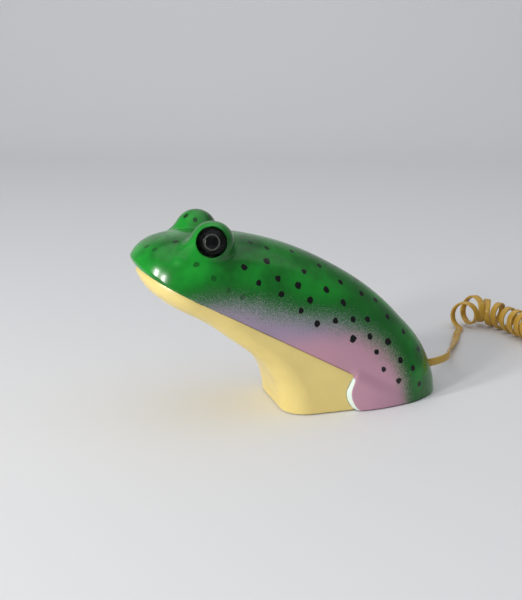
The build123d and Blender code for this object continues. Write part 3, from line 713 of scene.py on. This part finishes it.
KEY_MARKS = {"key_1": "1", "key_2": "2", "key_3": "3", "key_4": "4", "key_5": "5", "key_6": "6", "key_7": "7",
             "key_8": "8", "key_9": "9", "key_star": "*", "key_0": "0", "key_hash": "#"}
MARK_SIZE, MARK_RAISED = 5.4, 0.06
STAR_DROP = 0.9               # brings the star, which a font sets high, to the middle of its key
FACE_DOWN = Matrix(((0, -1, 0, 0), (-1, 0, 0, 0), (0, 0, -1, 0), (0, 0, 0, 1)))


def make_key_marks():
    """A raised printed figure on each key's pressed face, which looks down."""
    ink = plastic("key_ink", rgb(28, 40, 30), 0.5)
    for node, mark in KEY_MARKS.items():
        low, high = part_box(node)
        text = bpy.data.curves.new(node + "_mark", "FONT")
        text.body = mark
        text.size = MARK_SIZE * MM
        text.extrude = MARK_RAISED * MM
        text.align_x, text.align_y = "CENTER", "CENTER"
        holder = bpy.data.objects.new(node + "_mark_text", text)
        bpy.context.scene.collection.objects.link(holder)
        bpy.context.view_layer.update()
        mesh = bpy.data.meshes.new_from_object(holder.evaluated_get(bpy.context.evaluated_depsgraph_get()))
        bpy.data.objects.remove(holder)
        mesh.name = node + "_mark"
        drop = STAR_DROP * MM if mark == "*" else 0.0
        mesh.transform(Matrix.Translation(((low.x + high.x) / 2 + drop, (low.y + high.y) / 2, low.z)) @ FACE_DOWN)
        mesh.materials.clear()
        add_piece(node + "_mark", mesh, ink, node + "_cap")


# ---- cord ------------------------------------------------------------------------------
RIBBON_WIDE, RIBBON_THICK = 7.0, 2.3
CORD_ROUTE = [(127, 0, 19), (137, 0, 20), (146.6, 4.2, 21), (153.6, 12, 20.4), (158, 22, 17.4),
              (163.5, 33.5, 13), (170.5, 47, 8.8), (179, 61, 5.4), (190, 76.5, 4.1), (201, 92.5, 3.7),
              (212, 110, 3.5), (221, 125, 2.6)]
COIL_ROUTE = [(232, 139, 13.6), (246, 148, 13.6), (261, 147, 13.6), (272, 136, 13.6), (276, 120, 13.6),
              (278, 102, 13.6), (282, 80, 13.6), (288, 50, 13.6), (292, 16, 13.6), (290, -20, 13.6)]
TAIL_ROUTE = [(300, -20.5, 1.8), (300.5, -28, 1.9), (296, -37, 2), (289.5, -45, 2.4), (286.2, -56, 3.8),
              (286.5, -68, 4.4)]
COIL_RADIUS = 12.1
WIDE_TURN = (1.75, 0.6, 1.6)              # in turns from the start: middle and spread, then extra radius
RAISED_TURN = (1.6, 1.1, 4.5)             # the same, then height off the floor
RADIUS_SWAY, PITCH_SWAY = (0.35, 2.3), (0.08, 1.7)       # unevenness from turn to turn: size and pace
LOOSE_PITCH, CLOSE_PITCH = 13.6, 7.7
LOOSE_LENGTH, LOOSE_FADE = 84.0, 5
POINTS_PER_TURN = 14
TWIST_FROM, TWIST_OVER = 0.42, 0.5        # shares of the lead where the ribbon rolls from upright to flat
JOIN_LENGTH = 12                          # over which the ribbon takes up the coil's direction
RIM_STEPS = 6                             # points round each edge of the ribbon


def nurbs_line(name, points_mm):
    """Smooth cord line with these control points, and the points that it runs through, in millimetres."""
    curve = bpy.data.curves.new(name, "CURVE")
    curve.dimensions = "3D"
    spline = curve.splines.new("NURBS")
    spline.points.add(len(points_mm) - 1)
    for point, place in zip(spline.points, points_mm):
        point.co = (place[0] * MM, place[1] * MM, place[2] * MM, 1)
    spline.order_u = 3
    spline.use_endpoint_u = True
    spline.resolution_u = 5
    holder = bpy.data.objects.new(name, curve)
    bpy.context.scene.collection.objects.link(holder)
    bpy.context.view_layer.update()
    mesh = bpy.data.meshes.new_from_object(holder)
    line = np.array([v.co[:] for v in mesh.vertices]) / MM
    bpy.data.objects.remove(holder)
    bpy.data.meshes.remove(mesh)
    return line


def distances(line):
    """Running length at each point of a line."""
    return np.concatenate([[0], np.cumsum(np.linalg.norm(np.diff(line, axis=0), axis=1))])


def hump(turn, middle, spread, height):
    """Smooth rise to height at middle and down again, in turns of the coil."""
    return height * np.exp(-((turn - middle) / spread) ** 2)


def coil_turns():
    """Control points of the curled stretch, a helix that is loose at first and then close, and its axis."""
    axis = nurbs_line("coil_axis", COIL_ROUTE)
    run = distances(axis)
    points = []
    at, turn = 0.0, 0.0
    while at < run[-1] - 1:
        centre = np.array([np.interp(at, run, axis[:, i]) for i in range(3)])
        ahead = np.array([np.interp(min(at + 1, run[-1]), run, axis[:, i]) for i in range(3)])
        way = (ahead - centre) / np.linalg.norm(ahead - centre)
        side = np.cross((0, 0, 1), way)
        radius = COIL_RADIUS + hump(turn, *WIDE_TURN) + RADIUS_SWAY[0] * sin(turn * RADIUS_SWAY[1])
        height = radius + RIBBON_THICK / 2 + hump(turn, *RAISED_TURN)
        angle = 2 * pi * turn
        points.append((centre[0] + side[0] * radius * sin(angle), centre[1] + side[1] * radius * sin(angle),
                       height - radius * cos(angle)))
        loose = 1 / (1 + np.exp((at - LOOSE_LENGTH) / LOOSE_FADE))
        pitch = LOOSE_PITCH * loose + CLOSE_PITCH * (1 - loose)
        pitch *= 1 + PITCH_SWAY[0] * sin(turn * PITCH_SWAY[1])
        at += pitch / POINTS_PER_TURN
        turn += 1 / POINTS_PER_TURN
    return points[:POINTS_PER_TURN * int(turn) + 1], axis


def ribbon(line, wide_ways, material):
    """Flat cord with rounded edges along a line; wide_ways points across its width."""
    steps = np.gradient(line, axis=0)
    way = steps / np.linalg.norm(steps, axis=1)[:, None]
    across = wide_ways - (wide_ways * way).sum(1)[:, None] * way
    across /= np.linalg.norm(across, axis=1)[:, None]
    through = np.cross(way, across)
    flat, bend = RIBBON_WIDE / 2 - RIBBON_THICK / 2, RIBBON_THICK / 2
    rim = []
    for centre in (flat, -flat):
        for step in range(RIM_STEPS):
            turn = (-pi / 2 + pi * step / (RIM_STEPS - 1)) + (0 if centre > 0 else pi)
            rim.append((centre + bend * cos(turn), bend * sin(turn)))
    count = len(rim)
    verts = [line + across * a + through * b for a, b in rim]
    verts = np.stack(verts, 1).reshape(-1, 3) * MM
    faces = []
    for i in range(len(line) - 1):
        for j in range(count):
            k = (j + 1) % count
            faces.append((i * count + j, i * count + k, (i + 1) * count + k, (i + 1) * count + j))
    faces.append(tuple(range(count))[::-1])
    faces.append(tuple((len(line) - 1) * count + j for j in range(count)))
    mesh = bpy.data.meshes.new("line_cord")
    mesh.from_pydata(verts.tolist(), [], faces)
    mesh.update()
    mesh.shade_smooth()
    return add_piece("line_cord", mesh, material, "body")


def make_cord():
    """The whole cord as one ribbon: upright at the exit, rolling flat, round the coil, and flat to the plug."""
    turns, axis = coil_turns()
    line = nurbs_line("cord_line", CORD_ROUTE + turns + TAIL_ROUTE)
    run = distances(line)
    axis_way = np.gradient(axis, axis=0)
    axis_way /= np.linalg.norm(axis_way, axis=1)[:, None]
    nearest = np.argmin(((line[:, None, :2] - axis[None, :, :2]) ** 2).sum(2), axis=1)
    coil_way = axis_way[nearest]
    way = np.gradient(line, axis=0)
    flat_way = np.cross(way, (0, 0, 1))
    flat_way /= np.maximum(np.linalg.norm(flat_way, axis=1), 1e-6)[:, None]
    flat_way *= np.sign((flat_way * coil_way).sum(1))[:, None]
    lead = distances(nurbs_line("lead_line", CORD_ROUTE))[-1]
    lie = np.clip((run - TWIST_FROM * lead) / (TWIST_OVER * lead), 0, 1)[:, None]
    lie = lie * lie * (3 - 2 * lie)
    across = np.cos(lie * pi / 2) * np.array([0, 0, 1.0]) + np.sin(lie * pi / 2) * flat_way
    into = np.clip((run - lead) / JOIN_LENGTH, 0, 1)[:, None]
    across = across * (1 - into) + coil_way * into
    tail = distances(nurbs_line("tail_line", TAIL_ROUTE))[-1]
    out = np.clip((run - (run[-1] - tail - JOIN_LENGTH - 2)) / JOIN_LENGTH, 0, 1)[:, None]
    across = across * (1 - out) + flat_way * out
    piece = ribbon(line, across, MATERIALS["cord"])
    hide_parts("cord_lead", "cord_coil", "cord_tail")
    print("cord length", round(run[-1], 1), "turns", round(len(turns) / POINTS_PER_TURN, 1))


# ---- stage, light and camera -----------------------------------------------------------
CAMERA_PLACE = (-0.25193, -0.75421, 0.30005)
CAMERA_PITCH, CAMERA_YAW = radians(15.093), radians(16.683)
CAMERA_LENS = 60.0
FLOOR_FRONT, FLOOR_HALF_WIDTH = -3.0, 4.0            # metres, with the floor turned to face the camera
SWEEP_START, SWEEP_RADIUS, WALL_TOP = 1.6, 0.9, 3.5
FLOOR_TURN = radians(-16.7)
FROG_HEAD = (-0.115, -0.036, 0.125)
WINDOW_SIZE, WINDOW_COLOUR = (0.26, 0.38), (1.0, 0.99, 0.97)


def make_stage():
    """Pale floor that curves up far behind the frog."""
    profile = [(FLOOR_FRONT, 0.0)]
    for angle in np.linspace(0, pi / 2, 16):
        profile.append((SWEEP_START + SWEEP_RADIUS * sin(angle), SWEEP_RADIUS - SWEEP_RADIUS * cos(angle)))
    profile.append((SWEEP_START + SWEEP_RADIUS, WALL_TOP))
    turn = Matrix.Rotation(FLOOR_TURN, 4, "Z")
    verts = [turn @ Vector((x, y, z)) for x in (-FLOOR_HALF_WIDTH, FLOOR_HALF_WIDTH) for y, z in profile]
    count = len(profile)
    faces = [(i, i + count, i + count + 1, i + 1) for i in range(count - 1)]
    mesh = bpy.data.meshes.new("floor")
    mesh.from_pydata([tuple(v) for v in verts], [], faces)
    mesh.shade_smooth()
    paint = Paint("pale_floor")
    paint.set(Base_Color=rgb(226, 226, 227), Roughness=0.7)
    mesh.materials.append(paint.material)
    floor = bpy.data.objects.new("floor", mesh)
    bpy.context.scene.collection.objects.link(floor)


def area_light(name, place, aim, size, power, colour):
    light = bpy.data.lights.new(name, "AREA")
    light.shape = "RECTANGLE"
    light.size, light.size_y = size
    light.energy = power
    light.color = colour
    lamp = bpy.data.objects.new(name, light)
    lamp.location = place
    lamp.rotation_euler = (Vector(aim) - Vector(place)).to_track_quat("-Z", "Y").to_euler()
    bpy.context.scene.collection.objects.link(lamp)


def make_lights():
    """Two small window panes ahead of the frog, a broad soft ceiling and an even room."""
    area_light("window_left", (-1.89, -0.55, 0.89), FROG_HEAD, WINDOW_SIZE, 20, WINDOW_COLOUR)
    area_light("window_right", (-1.715, -1.06, 0.75), FROG_HEAD, WINDOW_SIZE, 17, WINDOW_COLOUR)
    area_light("ceiling", (0.1, -0.2, 2.8), (0, 0, 0), (4.6, 4.2), 40, (0.97, 0.98, 1.0))
    world = bpy.data.worlds.new("room")
    world.use_nodes = True
    background = world.node_tree.nodes["Background"]
    background.inputs["Color"].default_value = (0.84, 0.87, 0.92, 1)
    background.inputs["Strength"].default_value = 0.30
    bpy.context.scene.world = world
    bpy.context.scene.view_settings.view_transform = "Standard"


def make_camera():
    pitch, yaw = CAMERA_PITCH, CAMERA_YAW
    forward = Vector((sin(yaw) * cos(pitch), cos(yaw) * cos(pitch), -sin(pitch)))
    right = Vector((cos(yaw), -sin(yaw), 0))
    up = right.cross(forward)
    data = bpy.data.cameras.new("camera")
    data.lens = CAMERA_LENS
    camera = bpy.data.objects.new("camera", data)
    facing = Matrix((right, up, -forward)).transposed().to_4x4()
    camera.matrix_world = Matrix.Translation(Vector(CAMERA_PLACE)) @ facing
    bpy.context.scene.collection.objects.link(camera)
    bpy.context.scene.camera = camera


finish_cad_nodes()
make_camera()
make_cord()
make_shells()
make_key_marks()
make_stage()
make_lights()
